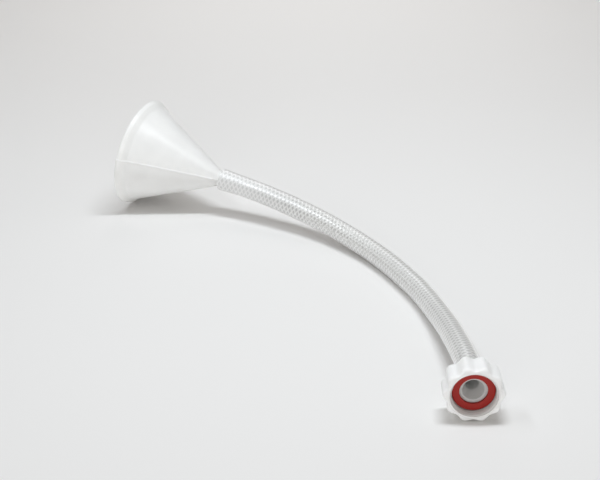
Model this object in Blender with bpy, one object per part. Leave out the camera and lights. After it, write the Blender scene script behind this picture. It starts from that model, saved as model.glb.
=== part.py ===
"""Filling funnel: a moulded cone on a braid-reinforced hose that ends in a union nut.

Metres, +Z up. The funnel lies on the plane z = 0: the cone rests on its rim, the hose on its belly and
the nut on two of its lobes. The nut's axis runs along Y and its socket opens towards -Y.
"""

import math

import bmesh
import bpy
from mathutils import Matrix, Vector

# Cone, measured along its axis from the mouth plane
RIM_RADIUS = 0.0490
RIM_BAND = 0.0042
RIM_INNER_RADIUS = 0.0460
CONE_RIM_RADIUS = 0.0456
CONE_LENGTH = 0.0784
CONE_END_RADIUS = 0.0086
WALL = 0.0015
NECK_RADIUS = 0.0071
NECK_LENGTH = 0.0053
SPOUT_LENGTH = 0.0225
SPOUT_ROOT_RADIUS = 0.0066
SPOUT_TIP_RADIUS = 0.0056
SPOUT_BORE_RADIUS = 0.0045
SPOUT_SLANT = 0.0030
CONE_HEADING = math.radians(22.9)
CONE_TILT = math.radians(9.67)
CONE_X, CONE_Y = -0.1350, 0.1656
CONE_SIDES = 48

# Hose: three bonded plies round one bore
HOSE_RADIUS = 0.0090
PLIES = (
    ("hose_cover", 0.00900, 0.00115),
    ("hose_braid", 0.00750, 0.00040),
    ("hose_liner", 0.00678, 0.00050),
)
HOSE_STATIONS = 32
SPOUT_FLARE = 0.0009
SPOUT_FLARE_LENGTH = 0.025
TAIL_FLARE = 0.0003
TAIL_FLARE_LENGTH = 0.030
HOSE_ROUTE = (
    (-0.0587, 0.1334, 0.0349),
    (-0.0478, 0.1288, 0.0329),
    (-0.0369, 0.1242, 0.0309),
    (-0.0220, 0.1170, 0.0282),
    (-0.0068, 0.1086, 0.0251),
    (0.0081, 0.0996, 0.0220),
    (0.0226, 0.0894, 0.0191),
    (0.0366, 0.0778, 0.0164),
    (0.0501, 0.0647, 0.0139),
    (0.0630, 0.0501, 0.0118),
    (0.0753, 0.0339, 0.0102),
    (0.0868, 0.0153, 0.0093),
    (0.0972, -0.0056, 0.0091),
    (0.1066, -0.0272, 0.0091),
    (0.1146, -0.0506, 0.0095),
    (0.1210, -0.0772, 0.0113),
    (0.1260, -0.1040, 0.0142),
    (0.1294, -0.1300, 0.0173),
    (0.1315, -0.1500, 0.0195),
    (0.1330, -0.1660, 0.0206),
    (0.1334, -0.1810, 0.0209),
    (0.1334, -0.1960, 0.0209),
)

# Union nut, measured along its axis from the socket's mouth
NUT_LENGTH = 0.0189
NUT_LOBES = 10
NUT_TIP_RADIUS = 0.0219
NUT_BACK_TIP_RADIUS = 0.0215
LOBE_DEPTH = 0.0024
LOBE_STATIONS = 6
THREAD_CREST_RADIUS = 0.0154
THREAD_ROOT_RADIUS = 0.0165
THREAD_PITCH = 0.0023
THREAD_TURNS = 5
NUT_BACK_WALL = 0.0032
NUT_HOLE_RADIUS = 0.0100
NUT_X, NUT_FRONT_Y = 0.1334, -0.2106

# Hose tail, measured along the nut's axis from the socket's mouth
FLANGE_FRONT = 0.0082
FLANGE_THICKNESS = 0.0030
FLANGE_RADIUS = 0.0148
SHOULDER_RADIUS = 0.0085
SHOULDER_END = 0.0143
LEAD_IN_RADIUS = 0.0076
LEAD_IN_DEPTH = 0.0080
TAIL_BORE_RADIUS = 0.0046
BARB_RADIUS = 0.0060
BARB_ROOT_RADIUS = 0.0054
BARB_PITCH = 0.0080
BARBS = 3
TAIL_SIDES = 32

# Gasket
GASKET_FRONT = 0.0059
GASKET_THICKNESS = 0.0020
GASKET_RADIUS = 0.0150
GASKET_HOLE_RADIUS = 0.0099
GASKET_SIDES = 48

FLOOR_GAP = 0.00002  # keeps rounding from putting a vertex below the floor


def clear_scene():
    """Empties the file of objects."""
    for found in list(bpy.data.objects):
        bpy.data.objects.remove(found, do_unlink=True)


def plastic(name, colour, roughness, metallic=0.0):
    """A plain Principled material."""
    material = bpy.data.materials.new(name)
    material.use_nodes = True
    shader = material.node_tree.nodes["Principled BSDF"]
    shader.inputs["Base Color"].default_value = (*colour, 1.0)
    shader.inputs["Roughness"].default_value = roughness
    shader.inputs["Metallic"].default_value = metallic
    return material


def turned(name, profile, sides, material, radius_at=None, shift_at=None):
    """A ring-shaped solid turned round local +Z from a closed profile of (station, radius) points.

    radius_at(index, radius, angle) may shape a ring's outline, and shift_at(index, angle) may slide its
    points along the axis.
    """
    mesh = bmesh.new()
    rings = []
    for index, (station, radius) in enumerate(profile):
        ring = []
        for side in range(sides):
            angle = 2 * math.pi * side / sides
            reach = radius_at(index, radius, angle) if radius_at else radius
            along = station + (shift_at(index, angle) if shift_at else 0.0)
            ring.append(mesh.verts.new((reach * math.cos(angle), reach * math.sin(angle), along)))
        rings.append(ring)
    for index, ring in enumerate(rings):
        following = rings[(index + 1) % len(rings)]
        for side in range(sides):
            after = (side + 1) % sides
            mesh.faces.new((ring[side], ring[after], following[after], following[side]))
    bmesh.ops.recalc_face_normals(mesh, faces=mesh.faces)
    data = bpy.data.meshes.new(name)
    mesh.to_mesh(data)
    mesh.free()
    data.shade_smooth()
    data.set_sharp_from_angle(angle=math.radians(35))
    data.materials.append(material)
    part = bpy.data.objects.new(name, data)
    bpy.context.scene.collection.objects.link(part)
    return part


def axis_frame(name, origin, along, up=Vector((0, 0, 1))):
    """An empty whose +Z points along an axis and whose +X points as nearly down as it can."""
    z_axis = Vector(along).normalized()
    x_axis = (-up + z_axis * up.dot(z_axis)).normalized()
    y_axis = z_axis.cross(x_axis)
    frame = bpy.data.objects.new(name, None)
    bpy.context.scene.collection.objects.link(frame)
    turn = Matrix((x_axis, y_axis, z_axis)).transposed().to_4x4()
    frame.matrix_world = Matrix.Translation(origin) @ turn
    return frame


def funnel_cone(frame, material):
    """Cone, rim band, neck and slanted spout, one moulding with a bore right through."""
    slope = (CONE_RIM_RADIUS - CONE_END_RADIUS) / (CONE_LENGTH - RIM_BAND)
    wall = WALL * math.sqrt(1 + slope * slope)
    neck_end = CONE_LENGTH + NECK_LENGTH
    tip = neck_end + SPOUT_LENGTH
    edge = 0.0005
    outer = [
        (edge, RIM_RADIUS),
        (RIM_BAND - edge, RIM_RADIUS),
        (RIM_BAND, RIM_RADIUS - edge),
        (RIM_BAND, CONE_RIM_RADIUS),
        (CONE_LENGTH, CONE_END_RADIUS),
        (CONE_LENGTH + 0.0018, NECK_RADIUS + 0.0004),
        (neck_end - 0.0007, NECK_RADIUS),
        (neck_end, SPOUT_ROOT_RADIUS),
        (tip, SPOUT_TIP_RADIUS),
    ]
    inner = [
        (tip, SPOUT_BORE_RADIUS),
        (neck_end, SPOUT_BORE_RADIUS + 0.0003),
        (CONE_LENGTH, CONE_END_RADIUS - wall),
        (edge, RIM_INNER_RADIUS),
        (0.0, RIM_INNER_RADIUS + edge),
        (0.0, RIM_RADIUS - edge),
    ]
    at_tip = (len(outer) - 1, len(outer))

    def slanted(index, angle):
        """The spout's end is cut aslant, longest underneath."""
        return SPOUT_SLANT * math.cos(angle) if index in at_tip else 0.0

    cone = turned("funnel_cone", outer + inner, CONE_SIDES, material, shift_at=slanted)
    cone.parent = frame
    return cone


def nut_outline(radius, angle):
    """The lobed outline. The lowest two lobes lie evenly either side of angle zero."""
    lobe = 0.5 + 0.5 * math.cos(NUT_LOBES * (angle - math.pi / NUT_LOBES))
    return radius - LOBE_DEPTH * (1 - lobe)


def nut_height():
    """How high the nut's axis is when the nut lies on its two lowest lobes."""
    sides = NUT_LOBES * LOBE_STATIONS
    angles = [2 * math.pi * side / sides for side in range(sides)]
    return max(nut_outline(NUT_TIP_RADIUS, angle) * math.cos(angle) for angle in angles)


def union_nut(frame, material):
    """Lobed nut with a threaded socket and a back wall that runs behind the tail's flange."""
    chamfer = 0.0010
    back = NUT_LENGTH
    wall_front = NUT_LENGTH - NUT_BACK_WALL
    outer = [
        (0.0, NUT_TIP_RADIUS - chamfer),
        (chamfer, NUT_TIP_RADIUS),
        (back - chamfer, NUT_BACK_TIP_RADIUS),
        (back, NUT_BACK_TIP_RADIUS - chamfer),
    ]
    inner = [
        (back, NUT_HOLE_RADIUS + 0.0004),
        (back - 0.0004, NUT_HOLE_RADIUS),
        (wall_front, NUT_HOLE_RADIUS),
        (wall_front, THREAD_ROOT_RADIUS),
    ]
    for turn in reversed(range(THREAD_TURNS)):
        start = chamfer + turn * THREAD_PITCH
        inner.append((start + THREAD_PITCH, THREAD_CREST_RADIUS))
        inner.append((start + THREAD_PITCH / 2, THREAD_ROOT_RADIUS))
    inner.append((chamfer, THREAD_CREST_RADIUS))
    inner.append((0.0, THREAD_ROOT_RADIUS))

    def lobed(index, radius, angle):
        """Lobes run the whole length of the outside."""
        return nut_outline(radius, angle) if index < len(outer) else radius

    sides = NUT_LOBES * LOBE_STATIONS
    nut = turned("union_nut", outer + inner, sides, material, radius_at=lobed)
    nut.parent = frame
    return nut


def hose_tail(frame, material):
    """Flanged tail with a conical lead-in and barbs that hold the hose."""
    profile = [
        (FLANGE_FRONT, LEAD_IN_RADIUS),
        (FLANGE_FRONT, FLANGE_RADIUS),
        (FLANGE_FRONT + FLANGE_THICKNESS, FLANGE_RADIUS),
        (FLANGE_FRONT + FLANGE_THICKNESS, SHOULDER_RADIUS),
        (SHOULDER_END, SHOULDER_RADIUS),
    ]
    start = SHOULDER_END
    for barb in range(BARBS):
        profile.append((start, BARB_ROOT_RADIUS))
        profile.append((start + 0.0015, BARB_ROOT_RADIUS))
        profile.append((start + 0.0019, BARB_RADIUS))
        start += BARB_PITCH
    profile += [
        (start, BARB_ROOT_RADIUS - 0.0002),
        (start, TAIL_BORE_RADIUS),
        (FLANGE_FRONT + LEAD_IN_DEPTH, TAIL_BORE_RADIUS),
    ]
    tail = turned("hose_tail", profile, TAIL_SIDES, material)
    tail.parent = frame
    return tail


def gasket(frame, material):
    """Flat sealing washer."""
    back = GASKET_FRONT + GASKET_THICKNESS
    profile = [
        (GASKET_FRONT, GASKET_HOLE_RADIUS),
        (GASKET_FRONT, GASKET_RADIUS),
        (back, GASKET_RADIUS),
        (back, GASKET_HOLE_RADIUS),
    ]
    washer = turned("gasket", profile, GASKET_SIDES, material)
    washer.parent = frame
    return washer


def route_curve(route, stations):
    """Evenly spread points on the Catmull-Rom curve through the route."""
    points = [Vector(p) for p in route]
    ends = [2 * points[0] - points[1], *points, 2 * points[-1] - points[-2]]
    fine = []
    steps = 24
    for a, b, c, d in zip(ends, ends[1:], ends[2:], ends[3:]):
        for step in range(steps):
            t = step / steps
            fine.append(
                0.5 * (2 * b + (c - a) * t + (2 * a - 5 * b + 4 * c - d) * t**2
                       + (3 * b - a - 3 * c + d) * t**3)
            )
    fine.append(points[-1])
    run = [0.0]
    for before, after in zip(fine, fine[1:]):
        run.append(run[-1] + (after - before).length)
    placed, index = [], 0
    for station in range(stations):
        wanted = run[-1] * station / (stations - 1)
        while index < len(run) - 2 and run[index + 1] < wanted:
            index += 1
        share = (wanted - run[index]) / (run[index + 1] - run[index])
        placed.append((wanted, fine[index].lerp(fine[index + 1], share)))
    return placed, run[-1]


def flare(along, length):
    """How much the hose is stretched over the spout and the barbs."""
    at_spout = max(0.0, 1 - along / SPOUT_FLARE_LENGTH)
    at_tail = max(0.0, 1 - (length - along) / TAIL_FLARE_LENGTH)
    return SPOUT_FLARE * at_spout + TAIL_FLARE * min(1.0, 2 * at_tail)


def hose_ply(name, radius, thickness, placed, length, material):
    """One ply: a bevelled curve, hollowed by Solidify."""
    curve = bpy.data.curves.new(name, "CURVE")
    curve.dimensions = "3D"
    curve.bevel_depth = radius
    curve.bevel_resolution = 4
    curve.use_fill_caps = False
    line = curve.splines.new("POLY")
    line.points.add(len(placed) - 1)
    for point, (along, place) in zip(line.points, placed):
        point.co = (*place, 1.0)
        point.radius = (radius + flare(along, length)) / radius
    line.use_smooth = True
    curve.materials.append(material)
    ply = bpy.data.objects.new(name, curve)
    bpy.context.scene.collection.objects.link(ply)
    hollow = ply.modifiers.new("bore", "SOLIDIFY")
    hollow.thickness = thickness
    hollow.offset = -1.0
    hollow.use_even_offset = True
    return ply


def main():
    """Builds the funnel."""
    clear_scene()
    natural = plastic("natural_plastic", (0.86, 0.86, 0.84), 0.42)
    white = plastic("white_plastic", (0.88, 0.88, 0.86), 0.35)
    clear = plastic("clear_vinyl", (0.78, 0.79, 0.80), 0.18)
    yarn = plastic("white_yarn", (0.90, 0.90, 0.89), 0.70)
    rubber = plastic("red_rubber", (0.24, 0.028, 0.021), 0.62)

    cone_axis = Vector((
        math.cos(CONE_HEADING) * math.cos(CONE_TILT),
        -math.sin(CONE_HEADING) * math.cos(CONE_TILT),
        -math.sin(CONE_TILT),
    ))
    rim_height = RIM_RADIUS * math.cos(CONE_TILT) + (RIM_BAND - 0.0005) * math.sin(CONE_TILT)
    mouth = Vector((CONE_X, CONE_Y, rim_height + FLOOR_GAP))
    funnel_cone(axis_frame("cone_axis", mouth, cone_axis), natural)

    placed, length = route_curve(HOSE_ROUTE, HOSE_STATIONS)
    for (name, radius, thickness), material in zip(PLIES, (clear, yarn, clear)):
        hose_ply(name, radius, thickness, placed, length, material)

    nut_mouth = Vector((NUT_X, NUT_FRONT_Y, nut_height() + FLOOR_GAP))
    socket = axis_frame("nut_axis", nut_mouth, Vector((0, 1, 0)))
    union_nut(socket, white)
    hose_tail(socket, white)
    gasket(socket, rubber)


main()
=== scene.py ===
"""Filling funnel: a moulded cone on a clear braided hose, with a union nut and a washer at its end.

Everything is in metres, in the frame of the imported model: +Z up, the nut's axis along Y.
"""

import math

import bmesh
import bpy
from bpy.props import FloatProperty, FloatVectorProperty, IntProperty, PointerProperty
from mathutils import Matrix, Vector


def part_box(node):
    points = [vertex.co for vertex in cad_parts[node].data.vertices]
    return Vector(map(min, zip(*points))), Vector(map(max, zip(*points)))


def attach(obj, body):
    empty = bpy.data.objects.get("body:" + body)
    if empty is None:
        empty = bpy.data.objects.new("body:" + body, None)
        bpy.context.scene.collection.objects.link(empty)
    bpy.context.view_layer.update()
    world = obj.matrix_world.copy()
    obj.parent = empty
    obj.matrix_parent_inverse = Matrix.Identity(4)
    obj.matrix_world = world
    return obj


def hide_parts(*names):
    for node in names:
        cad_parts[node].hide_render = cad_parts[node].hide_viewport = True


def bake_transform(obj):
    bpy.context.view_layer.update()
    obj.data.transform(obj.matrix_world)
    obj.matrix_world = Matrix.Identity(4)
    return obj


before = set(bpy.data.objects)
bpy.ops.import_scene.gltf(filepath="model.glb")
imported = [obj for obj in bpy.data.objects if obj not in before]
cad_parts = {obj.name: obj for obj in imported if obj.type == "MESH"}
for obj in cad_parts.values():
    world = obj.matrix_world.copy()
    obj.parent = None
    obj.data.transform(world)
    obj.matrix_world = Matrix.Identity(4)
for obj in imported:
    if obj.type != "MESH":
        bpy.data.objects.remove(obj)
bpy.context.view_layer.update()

bl_info = {
    "name": "Filling Funnel",
    "version": (1, 0, 0),
    "blender": (4, 5, 0),
    "location": "3D View > Sidebar > Funnel",
    "description": "Builds a filling funnel with its braided hose, tail, washer and union nut",
    "category": "Add Mesh",
}

NUT_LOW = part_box("union_nut")[0]
WASHER_LOW, WASHER_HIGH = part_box("gasket")
NUT_X = (WASHER_LOW.x + WASHER_HIGH.x) / 2
NUT_Z = (WASHER_LOW.z + WASHER_HIGH.z) / 2
NUT_MOUTH = Vector((NUT_X, NUT_LOW.y, NUT_Z))

# Where the cone lies: the middle of its mouth, its heading from +X towards -Y, and its dip
CONE_MOUTH = Vector((-0.1350, 0.1656, 0.04895))
CONE_HEADING = math.radians(22.9)
CONE_DIP = math.radians(9.67)

# The cone's mould lines: where they run, their half width, the half width of their painted
# highlight, and how far they reach past the neck
MOULD_LINE = math.radians(78)
MOULD_LINE_HALF = 0.00072
MOULD_LINE_HIGHLIGHT_HALF = 0.0010
MOULD_LINE_ON_SPOUT = 0.018
# How near the outer radius a point has to be for the line to lift it or to get the line's painted
# highlight
LIFT_REACH, HIGHLIGHT_REACH = 0.0004, 0.0030
# Degrees from the middle of the line at which the cone has extra points
MOULD_LINE_POINTS = (-1.5, -1.1, -0.75, -0.4, 0.0, 0.4, 0.75, 1.1, 1.5)

# The cone's neck and spout, the length over which the rim band fairs into the cone, and its edge
NECK_LENGTH, NECK_RADIUS = 0.0053, 0.00715
SPOUT_SLANT = 0.0042
SPOUT_RADIUS, SPOUT_BORE = 0.00615, 0.00480
RIM_FAIRING, RIM_EDGE = 0.0036, 0.0003

# The nut, measured from its mouth: its back wall and the hole in it, and the thread's start,
# end, fades and the flat on its crests
NUT_BACK_WALL, NUT_HOLE = 0.0032, 0.0100
THREAD_START, THREAD_END = 0.0009, 0.0126
THREAD_RISE, THREAD_FALL = 0.0008, 0.0012
THREAD_FLAT = 0.12

# The tail, measured from the nut's mouth: its flange, its shoulder, its bore and its barbs
FLANGE_FRONT, FLANGE_BACK, FLANGE_RADIUS = 0.0082, 0.0112, 0.0148
SHOULDER_END, SHOULDER_RADIUS = 0.0143, 0.0085
TAIL_BORE, LEAD_IN_END = 0.0046, 0.0162
BARBS, BARB_PITCH = 3, 0.0080
BARB_ROOT, BARB_TIP = 0.0055, 0.00615

# The hose's centreline, from the spout to the tail
HOSE_ROUTE = (
    (-0.0587, 0.1334, 0.0349),
    (-0.0478, 0.1288, 0.0329),
    (-0.0369, 0.1242, 0.0309),
    (-0.0220, 0.1170, 0.0282),
    (-0.0068, 0.1086, 0.0251),
    (0.0081, 0.0996, 0.0220),
    (0.0226, 0.0894, 0.0191),
    (0.0366, 0.0778, 0.0164),
    (0.0501, 0.0647, 0.0139),
    (0.0630, 0.0501, 0.0118),
    (0.0753, 0.0339, 0.0102),
    (0.0868, 0.0153, 0.0093),
    (0.0972, -0.0056, 0.0091),
    (0.1066, -0.0272, 0.0091),
    (0.1146, -0.0506, 0.0095),
    (0.1210, -0.0772, 0.0113),
    (0.1260, -0.1040, 0.0142),
    (0.1294, -0.1300, 0.0173),
    (0.1315, -0.1500, 0.0195),
    (0.1330, -0.1660, 0.0206),
    (0.1334, -0.1810, 0.0209),
    (0.1334, -0.1960, 0.0209),
)

# How the hose is stretched where the spout and the tail's barbs fill it
SPOUT_GRIP, SPOUT_STRETCH = 0.025, 0.0009
TAIL_GRIP, TAIL_STRETCH = 0.030, 0.0003

# How finely round things are made
CURVE_STEPS = 24
LINE_STATIONS, HOSE_STATIONS = 260, 210
COVER_SIDES, LINER_SIDES = 56, 48
CONE_SIDES, NUT_SIDES, WASHER_SIDES, TAIL_SIDES = 192, 240, 128, 96
FILLET_STEPS = 4
YARN_STEPS = 32
THREAD_STEPS = 10

# The camera
CAMERA_PLACE = (0.0218, -0.9773, 0.5013)
CAMERA_DIP = math.radians(25.39)
CAMERA_TURN = math.radians(0.5)
CAMERA_LENS = 79.57
CAMERA_FILM = 36.0

# The light: panels as (name, place, target, size, power, colour, spread in degrees), and the sky
COOL, PLAIN = (0.91, 0.96, 1.0), (1.0, 1.0, 1.0)
WIDE = 180.0
LAMPS = (
    ("key_light", (0.15, -0.08, 1.05), (0.15, -0.08, 0.0), (0.54, 0.12), 6.3, COOL, WIDE),
    ("left_key", (-0.52, -0.08, 1.00), (-0.20, -0.02, 0.0), (0.60, 0.12), 2.0, COOL, WIDE),
    ("right_light", (0.95, 0.10, 0.70), (0.12, -0.08, 0.02), (0.5, 0.3), 0.3, PLAIN, WIDE),
    ("front_fill", (-0.15, -1.60, 0.36), (0.0, 0.0, 0.03), (1.0, 0.6), 6.5, PLAIN, WIDE),
    ("sheen_light", (0.04, 1.15, 0.86), (0.12, -0.10, 0.02), (0.5, 0.25), 0.5, PLAIN, WIDE),
    ("back_light", (0.02, 1.05, 1.20), (0.02, 1.05, 0.0), (0.9, 0.5), 1.9, PLAIN, 90.0),
)
SKY_COLOUR = (1.0, 0.955, 0.91, 1.0)
SKY_STRENGTH = 0.275
FLOOR_REACH = 6.0


# ---------------------------------------------------------------- sizes and colours


class ConeSizes(bpy.types.PropertyGroup):
    """Sizes of the moulded cone, measured along its axis from the mouth."""

    rim_radius: FloatProperty(
        name="Rim radius", description="Outer radius of the rim band",
        default=0.0490, unit="LENGTH",
    )
    rim_band: FloatProperty(
        name="Rim band", description="Width of the flat band round the mouth",
        default=0.0042, unit="LENGTH",
    )
    shoulder_radius: FloatProperty(
        name="Shoulder radius", description="Outer radius of the cone behind the rim band",
        default=0.0456, unit="LENGTH",
    )
    length: FloatProperty(
        name="Cone length", description="From the mouth to the neck",
        default=0.0784, unit="LENGTH",
    )
    end_radius: FloatProperty(
        name="End radius", description="Outer radius where the cone meets the neck",
        default=0.0086, unit="LENGTH",
    )
    wall: FloatProperty(
        name="Wall", description="Thickness of the moulding",
        default=0.0015, unit="LENGTH",
    )
    spout_length: FloatProperty(
        name="Spout length", description="Length of the spout past the cone",
        default=0.0278, unit="LENGTH",
    )
    mould_line_height: FloatProperty(
        name="Mould line", description="How far the mould line stands up",
        default=0.00046, unit="LENGTH",
    )


class HoseSizes(bpy.types.PropertyGroup):
    """Sizes of the reinforced hose."""

    radius: FloatProperty(
        name="Hose radius", description="Outer radius of the cover",
        default=0.0090, unit="LENGTH",
    )
    cover_wall: FloatProperty(
        name="Cover wall", description="Thickness of the clear cover",
        default=0.00115, unit="LENGTH",
    )
    liner_radius: FloatProperty(
        name="Liner radius", description="Outer radius of the liner",
        default=0.00705, unit="LENGTH",
    )
    liner_wall: FloatProperty(
        name="Liner wall", description="Thickness of the liner",
        default=0.00075, unit="LENGTH",
    )
    strands: IntProperty(
        name="Strands", description="Yarns wound each way",
        default=8, min=4, max=32,
    )
    braid_lead: FloatProperty(
        name="Braid lead", description="Length of hose in which a yarn goes round once",
        default=0.0330, unit="LENGTH",
    )
    yarn_width: FloatProperty(
        name="Yarn width", description="Width of one flattened yarn",
        default=0.00125, unit="LENGTH",
    )
    yarn_thickness: FloatProperty(
        name="Yarn thickness", description="Thickness of one flattened yarn",
        default=0.00032, unit="LENGTH",
    )


class NutSizes(bpy.types.PropertyGroup):
    """Sizes of the union nut and its washer."""

    length: FloatProperty(
        name="Nut length", description="Depth of the nut from face to back",
        default=0.0189, unit="LENGTH",
    )
    tip_radius: FloatProperty(
        name="Lobe radius", description="Radius over the lobes at the front",
        default=0.02175, unit="LENGTH",
    )
    lobe_depth: FloatProperty(
        name="Lobe depth", description="Depth of the hollows between the lobes",
        default=0.0024, unit="LENGTH",
    )
    lobes: IntProperty(
        name="Lobes", description="Number of lobes round the nut",
        default=10, min=6, max=16,
    )
    crest_radius: FloatProperty(
        name="Thread crest", description="Radius over the crests of the inside thread",
        default=0.0154, unit="LENGTH",
    )
    root_radius: FloatProperty(
        name="Thread root", description="Radius at the roots of the inside thread",
        default=0.0165, unit="LENGTH",
    )
    thread_pitch: FloatProperty(
        name="Thread pitch", description="Distance between two crests",
        default=0.00231, unit="LENGTH",
    )
    washer_radius: FloatProperty(
        name="Washer radius", description="Outer radius of the washer",
        default=0.0150, unit="LENGTH",
    )
    washer_hole: FloatProperty(
        name="Washer hole", description="Radius of the washer's hole",
        default=0.0099, unit="LENGTH",
    )


class Colours(bpy.types.PropertyGroup):
    """Colours of the parts and of the floor."""

    natural: FloatVectorProperty(
        name="Natural plastic", description="Colour of the cone",
        default=(0.885, 0.885, 0.87), subtype="COLOR", min=0, max=1,
    )
    white: FloatVectorProperty(
        name="White plastic", description="Colour of the nut and the tail",
        default=(0.95, 0.95, 0.93), subtype="COLOR", min=0, max=1,
    )
    vinyl: FloatVectorProperty(
        name="Clear vinyl", description="Milky tint of the cover",
        default=(0.80, 0.80, 0.795), subtype="COLOR", min=0, max=1,
    )
    liner: FloatVectorProperty(
        name="Liner", description="Tone of the liner seen through the cover",
        default=(0.88, 0.875, 0.865), subtype="COLOR", min=0, max=1,
    )
    yarn: FloatVectorProperty(
        name="Yarn", description="Colour of the braid",
        default=(0.99, 0.99, 0.985), subtype="COLOR", min=0, max=1,
    )
    washer: FloatVectorProperty(
        name="Washer", description="Colour of the sealing washer",
        default=(0.345, 0.021, 0.015), subtype="COLOR", min=0, max=1,
    )
    floor: FloatVectorProperty(
        name="Floor", description="Colour of the floor",
        default=(0.84, 0.83, 0.82), subtype="COLOR", min=0, max=1,
    )


# ---------------------------------------------------------------- materials


class Socket:
    """A node's output that can be used in sums."""

    def __init__(self, finish, output):
        self.finish = finish
        self.output = output

    def maths(self, operation, *values):
        """A Math node on these values."""
        return self.finish.node("ShaderNodeMath", {"operation": operation}, dict(enumerate(values)))

    def __add__(self, other):
        return self.maths("ADD", self, other)

    __radd__ = __add__

    def __sub__(self, other):
        return self.maths("SUBTRACT", self, other)

    def __rsub__(self, other):
        return self.maths("SUBTRACT", other, self)

    def __mul__(self, other):
        return self.maths("MULTIPLY", self, other)

    __rmul__ = __mul__


class Finish:
    """A procedural material, built node by node."""

    def __init__(self, name):
        self.material = bpy.data.materials.new(name)
        self.material.use_nodes = True
        self.tree = self.material.node_tree
        self.tree.nodes.clear()

    def node(self, kind, settings=None, sockets=None, output=0):
        """A node of this kind, with its settings made first and its sockets set or linked after."""
        made = self.tree.nodes.new(kind)
        for name, value in (settings or {}).items():
            if name == "stops":
                ramp = made.color_ramp.elements
                while len(ramp) < len(value):
                    ramp.new(1.0)
                for element, (place, colour) in zip(ramp, value):
                    element.position = place
                    element.color = colour
            else:
                setattr(made, name, value)
        for key, value in (sockets or {}).items():
            if isinstance(value, Socket):
                self.tree.links.new(value.output, made.inputs[key])
            else:
                made.inputs[key].default_value = value
        return Socket(self, made.outputs[output]) if made.outputs else None

    def place(self):
        """Object coordinates."""
        return self.node("ShaderNodeTexCoord", output="Object")

    def attribute(self, name):
        """A number stored on the mesh."""
        return self.node("ShaderNodeAttribute", {"attribute_name": name}, output="Fac")

    def noise(self, scale, detail=2.0, where=None, roughness=0.5):
        """Soft noise from 0 to 1."""
        sockets = {"Vector": where or self.place(), "Scale": scale, "Detail": detail}
        sockets["Roughness"] = roughness
        return self.node("ShaderNodeTexNoise", None, sockets)

    def ramp(self, value, low, high):
        """0 below low and 1 above high, smooth between."""
        sockets = {"Value": value, "From Min": low, "From Max": high}
        return self.node("ShaderNodeMapRange", {"interpolation_type": "SMOOTHSTEP"}, sockets)

    def blend(self, share, first, second):
        """Colour that goes from first to second as share goes from 0 to 1."""
        first, second = [(*c, 1.0) if isinstance(c, tuple) else c for c in (first, second)]
        sockets = {0: share, 6: first, 7: second}
        return self.node("ShaderNodeMix", {"data_type": "RGBA"}, sockets, output=2)

    def bump(self, height, distance, strength=1.0):
        """Normals shaken by a height."""
        sockets = {"Height": height, "Distance": distance, "Strength": strength}
        return self.node("ShaderNodeBump", None, sockets)

    def cosine(self, angle):
        """Cosine of an angle."""
        return self.node("ShaderNodeMath", {"operation": "COSINE"}, {0: angle})

    def braid_waves(self):
        """Two waves that crest over the yarns wound each way."""
        _, sizes, *_ = settings()
        around = self.attribute("around") * sizes.strands
        along = self.attribute("along") * (2 * math.pi * sizes.strands / sizes.braid_lead)
        return self.cosine(around - along), self.cosine(around + along)

    def surface(self, shader):
        """Puts the shader on the output."""
        self.node("ShaderNodeOutputMaterial", None, {"Surface": shader})
        return self.material

    def plastic(self, sockets):
        """The Principled shader."""
        return self.node("ShaderNodeBsdfPrincipled", None, sockets)


def shaded(colour, factor):
    """The colour made lighter or darker."""
    return tuple(min(1.0, channel * factor) for channel in colour)


def moulded_plastic(name, colour, gloss, fine=2600.0, glow=0.003):
    """Satin plastic that glows a little, with flow marks, grain, scuffs, mould lines painted white
    as a highlight, and painted shade inside the nut's socket.
    """
    finish = Finish(name)
    cloud = finish.noise(38.0, 3.0)
    grain = finish.noise(fine, 2.0)
    scuff = finish.ramp(finish.noise(170.0, 6.0, roughness=0.75), 0.60, 0.74)
    flow = finish.ramp(cloud, 0.30, 0.70)
    tone = finish.blend(flow, shaded(colour, 0.965), shaded(colour, 1.02))
    tone = finish.blend(scuff * 0.25, tone, shaded(colour, 0.90))
    # Mould lines painted white: a painted highlight where the ridge catches the light
    tone = finish.blend(finish.attribute("mould_line"), tone, (1.0, 1.0, 1.0))
    # Painted shade inside the nut's socket, where light does not reach
    tone = finish.blend(finish.attribute("socket"), tone, shaded(colour, 0.78))
    height = grain * 0.6 + cloud * 0.4
    return finish.surface(finish.plastic({
        "Base Color": tone,
        "Roughness": cloud * 0.10 + scuff * 0.12 + (gloss - 0.05),
        "Normal": finish.bump(height, 0.00003, 0.35),
        "IOR": 1.49,
        "Subsurface Weight": 0.8,
        "Subsurface Radius": (1.0, 1.0, 1.0),
        "Subsurface Scale": glow,
    }))


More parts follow.
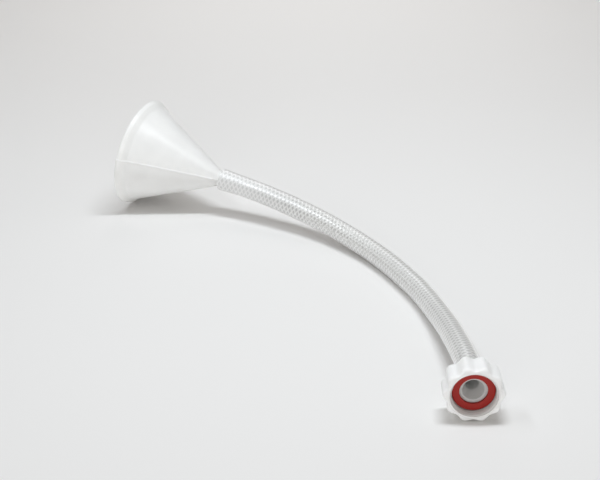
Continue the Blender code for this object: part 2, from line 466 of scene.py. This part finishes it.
def clear_vinyl(name, colour):
    """Clear vinyl that shows the braid, milkier where the spout stretches it."""
    finish = Finish(name)
    waves = finish.noise(90.0, 2.0)
    rough = finish.ramp(finish.noise(420.0, 5.0, roughness=0.7), 0.55, 0.72)
    one_way, other_way = finish.braid_waves()
    stretched = 1 - finish.ramp(finish.attribute("along"), 0.020, 0.110)
    ridges = (one_way + other_way) * (1 - stretched) * 0.25
    normal = finish.bump(waves * 0.3 + ridges, 0.00004, 1.0)
    over_yarn = finish.ramp(one_way.maths("MAXIMUM", one_way, other_way), 0.10, 0.65)
    pale = over_yarn * (1 - stretched * 0.5) + stretched * 0.4
    haze = finish.plastic({
        "Base Color": finish.blend(pale, shaded(colour, 0.88), shaded(colour, 1.24)),
        "Roughness": 0.45,
        "Normal": normal,
    })
    clear = finish.node("ShaderNodeBsdfTransparent", None, {"Color": (0.995, 0.995, 0.99, 1.0)})
    gloss = finish.node("ShaderNodeBsdfGlossy", None, {
        "Color": (1.0, 1.0, 1.0, 1.0),
        "Roughness": rough * 0.06 + 0.29,
        "Normal": normal,
    })
    inner_side = finish.node("ShaderNodeNewGeometry", output="Backfacing")
    open_air = (1 - finish.attribute("bonded")) * (1 - inner_side)
    fresnel = finish.node("ShaderNodeFresnel", None, {"IOR": 1.80, "Normal": normal})
    mirror = open_air * 1.6 * fresnel
    edge = finish.node("ShaderNodeLayerWeight", None, {"Blend": 0.35}, output="Facing")
    share = edge * 0.20 + over_yarn * (0.20 - stretched * 0.14) + stretched * 0.58 + 0.08
    body = finish.node("ShaderNodeMixShader", None, {0: share, 1: clear, 2: haze})
    return finish.surface(finish.node("ShaderNodeMixShader", None, {0: mirror, 1: body, 2: gloss}))


def milky_liner(name, colour):
    """Milky vinyl, with painted shade on its underside where the spout fills it."""
    finish = Finish(name)
    along = finish.attribute("along")
    around = finish.attribute("around")
    streaks = finish.noise(60.0, 3.0)
    under = finish.cosine(around)
    spout_end = 0.0225 + 0.0030 * under
    # Painted shade: the underside is darker over the length that the spout fills
    spout_shade = 1 - finish.ramp(along - spout_end, -0.0008, 0.0008)
    tone = finish.blend(finish.ramp(streaks, 0.3, 0.7), shaded(colour, 0.95), shaded(colour, 1.05))
    tone = finish.blend(spout_shade * finish.ramp(under, -0.5, 0.5), tone, shaded(colour, 0.78))
    return finish.surface(finish.plastic({
        "Base Color": tone,
        "Roughness": 0.40,
        "Normal": finish.bump(finish.noise(900.0, 2.0), 0.00005, 0.3),
        "Subsurface Weight": 0.8,
        "Subsurface Radius": (1.0, 1.0, 1.0),
        "Subsurface Scale": 0.004,
    }))


def polyester_yarn(name, colour):
    """Twisted filaments along each yarn."""
    finish = Finish(name)
    along = finish.attribute("strand_along")
    across = finish.attribute("strand_across")
    twist = finish.node("ShaderNodeMath", {"operation": "SINE"}, {0: along * 2600.0 + across * 9.0})
    fuzz = finish.noise(2400.0, 3.0)
    tone = finish.blend(finish.ramp(twist * 0.5 + fuzz, 0.2, 1.0), shaded(colour, 0.93), colour)
    return finish.surface(finish.plastic({
        "Base Color": tone,
        "Specular IOR Level": 1.0,
        "Roughness": fuzz * 0.15 + 0.26,
        "Sheen Weight": 0.15,
        "Normal": finish.bump(twist * 0.5 + fuzz, 0.00004, 0.5),
    }))


def sealing_rubber(name, colour):
    """Flat red rubber with a light bloom and fine pits."""
    finish = Finish(name)
    bloom = finish.ramp(finish.noise(230.0, 5.0, roughness=0.65), 0.42, 0.72)
    pits = finish.noise(3200.0, 2.0)
    tone = finish.blend(bloom * 0.35, colour, shaded(colour, 1.35))
    return finish.surface(finish.plastic({
        "Base Color": tone,
        "Roughness": bloom * 0.12 + 0.58,
        "Specular IOR Level": 0.3,
        "Normal": finish.bump(pits, 0.00006, 0.5),
    }))


def floor_paper(name, colour):
    """Plain pale studio floor."""
    finish = Finish(name)
    cloud = finish.noise(3.0, 2.0)
    tone = finish.blend(cloud, shaded(colour, 0.995), shaded(colour, 1.005))
    sockets = {"Base Color": tone, "Roughness": 0.9, "Specular IOR Level": 0.1}
    return finish.surface(finish.plastic(sockets))


# ---------------------------------------------------------------- shapes


def fillet(corners):
    """A closed outline with its corners rounded. Each corner is (along, radius, rounding)."""
    outline = []
    count = len(corners)
    for index, (along, radius, rounding) in enumerate(corners):
        here = Vector((along, radius))
        before = Vector(corners[index - 1][:2])
        after = Vector(corners[(index + 1) % count][:2])
        back, ahead = before - here, after - here
        if rounding <= 0:
            outline.append((here.x, here.y))
            continue
        half = back.angle(ahead) / 2
        reach = min(rounding / math.tan(half), 0.45 * back.length, 0.45 * ahead.length)
        start, end = here + back.normalized() * reach, here + ahead.normalized() * reach
        for step in range(FILLET_STEPS + 1):
            share = step / FILLET_STEPS
            point = start.lerp(here, share).lerp(here.lerp(end, share), share)
            outline.append((point.x, point.y))
    return outline


def even_angles(count):
    """Angles once round."""
    return [2 * math.pi * index / count for index in range(count)]


def turned(name, outline, angles, shape=None):
    """A ring-shaped solid round local +Z. shape may give each point its own place and radius."""
    mesh = bmesh.new()
    rings = []
    for index, (along, radius) in enumerate(outline):
        ring = []
        for angle in angles:
            z, r = shape(index, angle, along, radius) if shape else (along, radius)
            ring.append(mesh.verts.new((r * math.cos(angle), r * math.sin(angle), z)))
        rings.append(ring)
    for index, ring in enumerate(rings):
        following = rings[(index + 1) % len(rings)]
        for side in range(len(angles)):
            after = (side + 1) % len(angles)
            mesh.faces.new((ring[side], ring[after], following[after], following[side]))
    bmesh.ops.recalc_face_normals(mesh, faces=mesh.faces)
    return finished(name, mesh)


def finished(name, mesh, sharp=38.0):
    """Turns a bmesh into a smooth-shaded object in the scene."""
    data = bpy.data.meshes.new(name)
    mesh.to_mesh(data)
    mesh.free()
    data.shade_smooth()
    data.set_sharp_from_angle(angle=math.radians(sharp))
    made = bpy.data.objects.new(name, data)
    bpy.context.scene.collection.objects.link(made)
    return made


def axis_matrix(origin, along):
    """Puts local +Z along an axis and local +X as nearly down as it can be."""
    z_axis = Vector(along).normalized()
    up = Vector((0, 0, 1))
    x_axis = (-up + z_axis * up.dot(z_axis)).normalized()
    y_axis = z_axis.cross(x_axis)
    return Matrix.Translation(origin) @ Matrix((x_axis, y_axis, z_axis)).transposed().to_4x4()


def cone_matrix():
    """Where the cone lies."""
    flat = math.cos(CONE_DIP)
    along = (math.cos(CONE_HEADING) * flat, -math.sin(CONE_HEADING) * flat, -math.sin(CONE_DIP))
    return axis_matrix(CONE_MOUTH, along)


def nut_matrix():
    """Where the nut lies."""
    return axis_matrix(NUT_MOUTH, (0, 1, 0))


def smooth(share):
    """Eases a share from 0 to 1."""
    share = min(1.0, max(0.0, share))
    return share * share * (3 - 2 * share)


# ---------------------------------------------------------------- the hose


class HoseLine:
    """The hose's centreline with a steady frame along it."""

    def __init__(self, route, stations):
        points = [Vector(p) for p in route]
        ends = [2 * points[0] - points[1], *points, 2 * points[-1] - points[-2]]
        fine = []
        for a, b, c, d in zip(ends, ends[1:], ends[2:], ends[3:]):
            for step in range(CURVE_STEPS):
                t = step / CURVE_STEPS
                fine.append(
                    0.5 * (2 * b + (c - a) * t + (2 * a - 5 * b + 4 * c - d) * t**2
                           + (3 * b - a - 3 * c + d) * t**3)
                )
        fine.append(points[-1])
        run = [0.0]
        for before, after in zip(fine, fine[1:]):
            run.append(run[-1] + (after - before).length)
        self.length = run[-1]
        self.points = []
        index = 0
        for station in range(stations):
            wanted = self.length * station / (stations - 1)
            while index < len(run) - 2 and run[index + 1] < wanted:
                index += 1
            share = (wanted - run[index]) / (run[index + 1] - run[index])
            self.points.append(fine[index].lerp(fine[index + 1], share))
        self.tangents = []
        for index in range(stations):
            before = self.points[max(0, index - 1)]
            after = self.points[min(stations - 1, index + 1)]
            self.tangents.append((after - before).normalized())
        down = Vector((0, 0, -1))
        self.downs = []
        for tangent in self.tangents:
            down = (down - tangent * down.dot(tangent)).normalized()
            self.downs.append(down)

    def at(self, along):
        """(centre, down, side) at this distance from the spout's end."""
        place = min(1.0, max(0.0, along / self.length)) * (len(self.points) - 1)
        index = min(int(place), len(self.points) - 2)
        share = place - index
        centre = self.points[index].lerp(self.points[index + 1], share)
        tangent = self.tangents[index].lerp(self.tangents[index + 1], share).normalized()
        down = self.downs[index].lerp(self.downs[index + 1], share)
        down = (down - tangent * down.dot(tangent)).normalized()
        return centre, down, tangent.cross(down)

    def flare(self, along):
        """How much the hose is stretched over the spout and over the tail's barbs."""
        at_spout = max(0.0, 1 - along / SPOUT_GRIP)
        at_tail = min(1.0, 2 * max(0.0, 1 - (self.length - along) / TAIL_GRIP))
        return SPOUT_STRETCH * at_spout**1.3 + TAIL_STRETCH * at_tail

    def surface_point(self, along, radius, angle):
        """A point at this radius and at this angle from straight down."""
        centre, down, side = self.at(along)
        reach = radius + self.flare(along)
        return centre + (down * math.cos(angle) + side * math.sin(angle)) * reach


HOSE = HoseLine(HOSE_ROUTE, LINE_STATIONS)


def hose_wall(name, radius, wall, sides, rounding):
    """One ply of the hose: a tube with a wall and slightly rounded cut ends."""
    mesh = bmesh.new()
    along_layer = mesh.verts.layers.float.new("along")
    around_layer = mesh.loops.layers.float.new("around")
    bonded_layer = mesh.verts.layers.float.new("bonded")
    inner = radius - wall
    straight = HOSE.length - 2 * rounding
    sections = [(0.0, inner + rounding), (0.0, radius - rounding), (rounding, radius)]
    for station in range(1, HOSE_STATIONS):
        sections.append((rounding + straight * station / HOSE_STATIONS, radius))
    sections += [(HOSE.length - rounding, radius), (HOSE.length, radius - rounding)]
    sections += [(HOSE.length, inner + rounding), (HOSE.length - rounding, inner)]
    for station in range(1, HOSE_STATIONS):
        sections.append((HOSE.length - rounding - straight * station / HOSE_STATIONS, inner))
    sections.append((rounding, inner))
    rings = []
    for along, reach in sections:
        ring = []
        for angle in even_angles(sides):
            vertex = mesh.verts.new(HOSE.surface_point(along, reach, angle))
            vertex[along_layer] = along
            vertex[bonded_layer] = float(reach <= inner + rounding)
            ring.append(vertex)
        rings.append(ring)
    for index, ring in enumerate(rings):
        following = rings[(index + 1) % len(rings)]
        for side in range(sides):
            after = (side + 1) % sides
            face = mesh.faces.new((ring[side], ring[after], following[after], following[side]))
            for loop, turn in zip(face.loops, (side, side + 1, side + 1, side)):
                loop[around_layer] = 2 * math.pi * turn / sides
    bmesh.ops.recalc_face_normals(mesh, faces=mesh.faces)
    return finished(name, mesh)


def braid_strands(name, sizes):
    """Yarns wound both ways round the liner, each passing over one and under the next."""
    mesh = bmesh.new()
    run_layer = mesh.verts.layers.float.new("strand_along")
    cross_layer = mesh.verts.layers.float.new("strand_across")
    middle = (sizes.liner_radius + sizes.radius - sizes.cover_wall) / 2
    ride = 0.00016
    steps = round(HOSE.length / sizes.braid_lead * YARN_STEPS)
    half_width, half_thick = sizes.yarn_width / 2, sizes.yarn_thickness / 2
    outline = [(-1, 0), (-0.6, 0.85), (0.6, 0.85), (1, 0), (0.6, -0.85), (-0.6, -0.85)]
    turn_rate = 2 * math.pi / sizes.braid_lead
    for way in (1, -1):
        for strand in range(sizes.strands):
            start_angle = 2 * math.pi * strand / sizes.strands
            rings = []
            for step in range(steps + 1):
                along = HOSE.length * step / steps
                angle = start_angle + way * turn_rate * along
                radius = middle + way * ride * math.cos(sizes.strands * turn_rate * along)
                centre, down, side = HOSE.at(along)
                out = down * math.cos(angle) + side * math.sin(angle)
                round_way = side * math.cos(angle) - down * math.sin(angle)
                forward = down.cross(side)
                reach = radius + HOSE.flare(along)
                lean = math.atan2(way * turn_rate * reach, 1.0)
                across = round_way * math.cos(lean) - forward * math.sin(lean)
                if step in (0, steps):
                    across = round_way
                ring = []
                for wide, thick in outline:
                    point = centre + out * (reach + thick * half_thick)
                    vertex = mesh.verts.new(point + across * (wide * half_width))
                    vertex[run_layer] = along
                    vertex[cross_layer] = wide
                    ring.append(vertex)
                rings.append(ring)
            for first, second in zip(rings, rings[1:]):
                for corner in range(len(outline)):
                    after = (corner + 1) % len(outline)
                    mesh.faces.new((first[corner], first[after], second[after], second[corner]))
            mesh.faces.new(rings[0])
            mesh.faces.new(list(reversed(rings[-1])))
    bmesh.ops.recalc_face_normals(mesh, faces=mesh.faces)
    return finished(name, mesh, sharp=60.0)


# ---------------------------------------------------------------- operators


def settings():
    """The sizes and colours kept with the scene."""
    scene = bpy.context.scene
    return tuple(getattr(scene, name) for name in GROUPS)


def dress(piece, material, slot_name, body, *nodes):
    """Gives a piece its material and its body, if it has one, and hides the CAD nodes that it
    stands for.
    """
    piece.data.materials.append(material)
    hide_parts(*nodes)
    if body:
        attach(piece, body)
    return piece


class FUNNEL_OT_stage(bpy.types.Operator):
    """Sets out the floor, the light and the camera"""

    bl_idname = "funnel.stage"
    bl_label = "Stage"

    def execute(self, context):
        *_, colours = settings()
        scene = context.scene
        camera_data = bpy.data.cameras.new("camera")
        camera_data.lens = CAMERA_LENS
        camera_data.sensor_width = CAMERA_FILM
        camera_data.clip_start, camera_data.clip_end = 0.05, 50.0
        camera = bpy.data.objects.new("camera", camera_data)
        camera.location = CAMERA_PLACE
        camera.rotation_euler = (math.pi / 2 - CAMERA_DIP, 0.0, CAMERA_TURN)
        scene.collection.objects.link(camera)
        scene.camera = camera

        mesh = bmesh.new()
        bmesh.ops.create_grid(mesh, x_segments=24, y_segments=24, size=FLOOR_REACH)
        floor = finished("floor", mesh)
        floor.data.materials.append(floor_paper("studio_floor", tuple(colours.floor)))

        for lamp in LAMPS:
            self.hang(scene, *lamp)
        world = bpy.data.worlds.new("studio")
        world.use_nodes = True
        sky = world.node_tree.nodes["Background"]
        sky.inputs["Color"].default_value = SKY_COLOUR
        sky.inputs["Strength"].default_value = SKY_STRENGTH
        scene.world = world
        scene.view_settings.view_transform = "Standard"
        return {"FINISHED"}

    def hang(self, scene, name, place, target, size, power, colour, spread):
        """Hangs a soft panel of light that points at the target."""
        data = bpy.data.lights.new(name, "AREA")
        data.shape = "RECTANGLE"
        data.size, data.size_y = size
        data.energy = power
        data.color = colour
        data.spread = math.radians(spread)
        lamp = bpy.data.objects.new(name, data)
        lamp.location = place
        heading = Vector(target) - Vector(place)
        lamp.rotation_euler = heading.to_track_quat("-Z", "Y").to_euler()
        scene.collection.objects.link(lamp)


class FUNNEL_OT_hose(bpy.types.Operator):
    """Lays the hose: clear cover, braid and liner"""

    bl_idname = "funnel.hose"
    bl_label = "Hose"

    def execute(self, context):
        _, sizes, _, colours = settings()
        radius, wall = sizes.radius, sizes.cover_wall
        cover = hose_wall("hose_clear_cover", radius, wall, COVER_SIDES, 0.00025)
        radius, wall = sizes.liner_radius, sizes.liner_wall
        liner = hose_wall("hose_milky_liner", radius, wall, LINER_SIDES, 0.0001)
        braid = braid_strands("hose_yarn_braid", sizes)
        vinyl = clear_vinyl("clear_vinyl", tuple(colours.vinyl))
        yarn = polyester_yarn("white_yarn", tuple(colours.yarn))
        milky = milky_liner("milky_vinyl", tuple(colours.liner))
        plies = (
            (cover, vinyl, "clear_vinyl", "hose_cover"),
            (braid, yarn, "white_yarn", "hose_braid"),
            (liner, milky, "clear_vinyl", "hose_liner"),
        )
        for piece, material, slot_name, node in plies:
            dress(piece, material, slot_name, None, node)
            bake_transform(piece)
        return {"FINISHED"}


class FUNNEL_OT_cone(bpy.types.Operator):
    """Moulds the cone with its rim band, mould lines, neck and slanted spout"""

    bl_idname = "funnel.cone"
    bl_label = "Cone"

    def execute(self, context):
        sizes, _, _, colours = settings()
        slope = (sizes.shoulder_radius - sizes.end_radius) / (sizes.length - sizes.rim_band)
        wall = sizes.wall * math.sqrt(1 + slope * slope)
        neck_end = sizes.length + NECK_LENGTH
        tip = sizes.length + sizes.spout_length
        rim = sizes.rim_radius
        fair = sizes.rim_band + RIM_FAIRING
        outline = self.longer(fillet([
            (0.0, rim - 0.0002, 0.0005),
            (0.0016, rim, 0.0008),
            (sizes.rim_band, rim - 0.0014, 0.0016),
            (fair, self.outside(sizes, fair), 0.0050),
            (sizes.length, sizes.end_radius, 0.0040),
            (sizes.length + 0.0026, NECK_RADIUS + 0.00015, 0.0015),
            (neck_end, NECK_RADIUS, 0.0),
            (tip, SPOUT_RADIUS, 0.0004),
            (tip, SPOUT_BORE, 0.0002),
            (neck_end, SPOUT_BORE + 0.0003, 0.0020),
            (sizes.length, sizes.end_radius - wall, 0.0040),
            (0.0008, 0.0460, 0.0006),
            (0.0, 0.0466, 0.0004),
        ]), 18)
        angles = set(even_angles(CONE_SIDES))
        for centre in (MOULD_LINE, MOULD_LINE + math.pi):
            for offset in MOULD_LINE_POINTS:
                angles.add((centre + math.radians(offset)) % (2 * math.pi))
        angles = sorted(angles)
        line_end = neck_end + MOULD_LINE_ON_SPOUT

        def shape(index, angle, along, radius):
            """The spout is cut aslant and the mould lines stand up outside."""
            z = along
            if along > neck_end:
                z += SPOUT_SLANT * math.cos(angle) * smooth((along - neck_end) / (tip - neck_end))
            outside = radius > self.outside(sizes, along) - LIFT_REACH
            if outside and RIM_EDGE < along < line_end:
                off = abs(math.remainder(angle - MOULD_LINE, math.pi))
                lift = max(0.0, 1 - (off / (MOULD_LINE_HALF / radius)) ** 2)
                radius += sizes.mould_line_height * lift
            return z, radius

        cone = turned("moulded_cone", outline, angles, shape)
        self.mark_line_highlights(cone.data, sizes)
        cone.data.transform(cone_matrix())
        material = moulded_plastic("natural_plastic", tuple(colours.natural), 0.36)
        dress(cone, material, "natural_plastic", "cone", "funnel_cone")
        return {"FINISHED"}

    def mark_line_highlights(self, mesh, sizes):
        """Stores how close each point is to the crest of a mould line, where the line's painted
        highlight goes.
        """
        layer = mesh.attributes.new("mould_line", "FLOAT", "POINT")
        for vertex, item in zip(mesh.vertices, layer.data):
            x, y, along = vertex.co
            radius = math.hypot(x, y)
            outside = radius > self.outside(sizes, along) - HIGHLIGHT_REACH
            if outside and RIM_EDGE < along < sizes.length:
                off = abs(math.remainder(math.atan2(y, x) - MOULD_LINE, math.pi)) * radius
                item.value = max(0.0, 1 - (off / MOULD_LINE_HIGHLIGHT_HALF) ** 2)

    @staticmethod
    def outside(sizes, along):
        """The outer radius of the moulding at this distance from the mouth."""
        if along <= sizes.rim_band:
            return sizes.rim_radius
        share = (along - sizes.rim_band) / (sizes.length - sizes.rim_band)
        if share < 1:
            return sizes.shoulder_radius + (sizes.end_radius - sizes.shoulder_radius) * share
        return NECK_RADIUS

    @staticmethod
    def longer(outline, pieces):
        """Splits long stretches of the outline so that details can follow them."""
        split = []
        for index, point in enumerate(outline):
            after = outline[(index + 1) % len(outline)]
            gap = math.dist(point, after)
            steps = pieces if gap > 0.03 else (6 if gap > 0.01 else 1)
            for step in range(steps):
                share = step / steps
                split.append((
                    point[0] + (after[0] - point[0]) * share,
                    point[1] + (after[1] - point[1]) * share,
                ))
        return split


class FUNNEL_OT_nut(bpy.types.Operator):
    """Makes the lobed union nut with its thread"""

    bl_idname = "funnel.nut"
    bl_label = "Union nut"

    def execute(self, context):
        _, _, sizes, colours = settings()
        length, tip = sizes.length, sizes.tip_radius
        crest, root, pitch = sizes.crest_radius, sizes.root_radius, sizes.thread_pitch
        wall_front = length - NUT_BACK_WALL
        mouth = root + 0.0014
        outside = [
            (0.0, mouth, 0.0004),
            (0.0003, tip - 0.0015, 0.0020),
            (0.0011, tip - 0.0004, 0.0020),
            (0.0026, tip, 0.0020),
            (length - 0.0012, tip - 0.0004, 0.0007),
            (length, tip - 0.0016, 0.0004),
        ]
        inside = [
            (length, NUT_HOLE + 0.0004, 0.0002),
            (length - 0.0005, NUT_HOLE, 0.0002),
            (wall_front, NUT_HOLE, 0.0002),
            (wall_front, root + 0.0001, 0.0004),
            (THREAD_END + 0.0004, root + 0.0001, 0.0),
        ]
        outline = fillet(outside + inside)
        outside_points = len(outside) * (FILLET_STEPS + 1)
        steps = round((THREAD_END - THREAD_START) / pitch * THREAD_STEPS)
        for step in range(steps + 1):
            outline.append((THREAD_END + (THREAD_START - THREAD_END) * (step / steps), crest))
        outline.append((0.0002, root + 0.0002))
        outline.append((0.0, root + 0.0005))

        def shape(index, angle, along, radius):
            """Lobes outside and a right-handed thread inside."""
            if index < outside_points:
                lobe = 0.5 + 0.5 * math.cos(sizes.lobes * (angle - math.pi / sizes.lobes))
                hollow = sizes.lobe_depth * (1 - lobe)
                if along < length / 2:
                    tall = tip - hollow - mouth
                    return along, mouth + (radius - mouth) * tall / (tip - mouth)
                return along, radius - hollow
            if radius == crest:
                turn = (along / pitch + angle / (2 * math.pi)) % 1.0
                flank = (abs(turn - 0.5) * 2 - THREAD_FLAT) / (1 - 2 * THREAD_FLAT)
                deep = crest + (root - crest) * min(1.0, max(0.0, flank))
                rise = smooth((along - THREAD_START) / THREAD_RISE)
                fall = smooth((THREAD_END - along) / THREAD_FALL)
                return along, root + (deep - root) * rise * fall
            return along, radius

        nut = turned("lobed_union_nut", outline, even_angles(NUT_SIDES), shape)
        self.mark_socket_shade(nut.data, sizes)
        nut.data.transform(nut_matrix())
        material = moulded_plastic("white_plastic", tuple(colours.white), 0.32, 3000.0, 0.002)
        dress(nut, material, "white_plastic", "nut", "union_nut")
        return {"FINISHED"}

    def mark_socket_shade(self, mesh, sizes):
        """Stores 1 on the inside of the socket, where shade is painted on the moulding."""
        layer = mesh.attributes.new("socket", "FLOAT", "POINT")
        for vertex, item in zip(mesh.vertices, layer.data):
            x, y, along = vertex.co
            deep = math.hypot(x, y) < sizes.root_radius + 0.0003
            item.value = float(deep and along < sizes.length - 0.0025)


class FUNNEL_OT_washer(bpy.types.Operator):
    """Puts the sealing washer in the nut"""

    bl_idname = "funnel.washer"
    bl_label = "Washer"

    def execute(self, context):
        _, _, sizes, colours = settings()
        front = WASHER_LOW.y - NUT_LOW.y
        back = WASHER_HIGH.y - NUT_LOW.y
        corners = [
            (front, sizes.washer_hole, 0.00025),
            (front, sizes.washer_radius, 0.00035),
            (back, sizes.washer_radius, 0.00035),
            (back, sizes.washer_hole, 0.00025),
        ]
        washer = turned("sealing_washer", fillet(corners), even_angles(WASHER_SIDES))
        washer.data.transform(nut_matrix())
        material = sealing_rubber("red_rubber", tuple(colours.washer))
        dress(washer, material, "red_rubber", "gasket", "gasket")
        return {"FINISHED"}


class FUNNEL_OT_tail(bpy.types.Operator):
    """Makes the flanged tail with its barbs"""

    bl_idname = "funnel.tail"
    bl_label = "Hose tail"

    def execute(self, context):
        *_, colours = settings()
        corners = [
            (FLANGE_FRONT, 0.0078, 0.0006),
            (FLANGE_FRONT, FLANGE_RADIUS, 0.0003),
            (FLANGE_BACK, FLANGE_RADIUS, 0.0003),
            (FLANGE_BACK, SHOULDER_RADIUS, 0.0005),
            (SHOULDER_END, SHOULDER_RADIUS, 0.0004),
        ]
        start = SHOULDER_END
        for _ in range(BARBS):
            corners.append((start, BARB_ROOT, 0.0))
            corners.append((start + 0.0015, BARB_ROOT, 0.0))
            corners.append((start + 0.0018, BARB_TIP, 0.0001))
            start += BARB_PITCH
        corners += [(start, 0.0052, 0.0002), (start, TAIL_BORE, 0.0002)]
        corners.append((LEAD_IN_END, TAIL_BORE, 0.0030))
        tail = turned("barbed_hose_tail", fillet(corners), even_angles(TAIL_SIDES))
        tail.data.transform(nut_matrix())
        # The tail is the nut's white plastic painted darker: painted shade deep inside the nut
        shade = shaded(tuple(colours.white), 0.62)
        material = moulded_plastic("tail_plastic_in_painted_shade", shade, 0.40, glow=0.0005)
        dress(tail, material, "white_plastic", "base", "hose_tail")
        return {"FINISHED"}


class FUNNEL_OT_hose_facts(bpy.types.Operator):
    """Gathers the names of the parts on the hose's end"""

    bl_idname = "funnel.hose_facts"
    bl_label = "Hose facts"

    def execute(self, context):
        on_it = ["lobed_union_nut", "sealing_washer", "barbed_hose_tail"]
        on_it += ["hose_yarn_braid", "hose_milky_liner"]
        return {"FINISHED"}


class FUNNEL_PT_parts(bpy.types.Panel):
    """Lists the funnel's parts"""

    bl_idname = "FUNNEL_PT_parts"
    bl_label = "Filling Funnel"
    bl_space_type = "VIEW_3D"
    bl_region_type = "UI"
    bl_category = "Funnel"

    def draw(self, context):
        for operator in PART_OPERATORS:
            self.layout.operator(operator.bl_idname)
        for group in settings():
            box = self.layout.box()
            for name in group.bl_rna.properties.keys():
                if name not in ("rna_type", "name"):
                    box.prop(group, name)


PART_OPERATORS = (
    FUNNEL_OT_stage,
    FUNNEL_OT_hose,
    FUNNEL_OT_cone,
    FUNNEL_OT_tail,
    FUNNEL_OT_washer,
    FUNNEL_OT_nut,
    FUNNEL_OT_hose_facts,
)
GROUPS = {
    "funnel_cone_sizes": ConeSizes,
    "funnel_hose_sizes": HoseSizes,
    "funnel_nut_sizes": NutSizes,
    "funnel_colours": Colours,
}


def register():
    """Adds the add-on's classes and its settings."""
    for group in (*GROUPS.values(), *PART_OPERATORS, FUNNEL_PT_parts):
        bpy.utils.register_class(group)
    for name, group in GROUPS.items():
        setattr(bpy.types.Scene, name, PointerProperty(type=group))


def unregister():
    """Takes them away again."""
    for name in GROUPS:
        delattr(bpy.types.Scene, name)
    for group in (FUNNEL_PT_parts, *reversed(PART_OPERATORS), *reversed(GROUPS.values())):
        bpy.utils.unregister_class(group)


def main():
    """Builds the stage and every part."""
    register()
    bpy.ops.funnel.stage()
    bpy.ops.funnel.hose()
    bpy.ops.funnel.cone()
    bpy.ops.funnel.tail()
    bpy.ops.funnel.washer()
    bpy.ops.funnel.nut()
    bpy.ops.funnel.hose_facts()


if __name__ == "__main__":
    main()
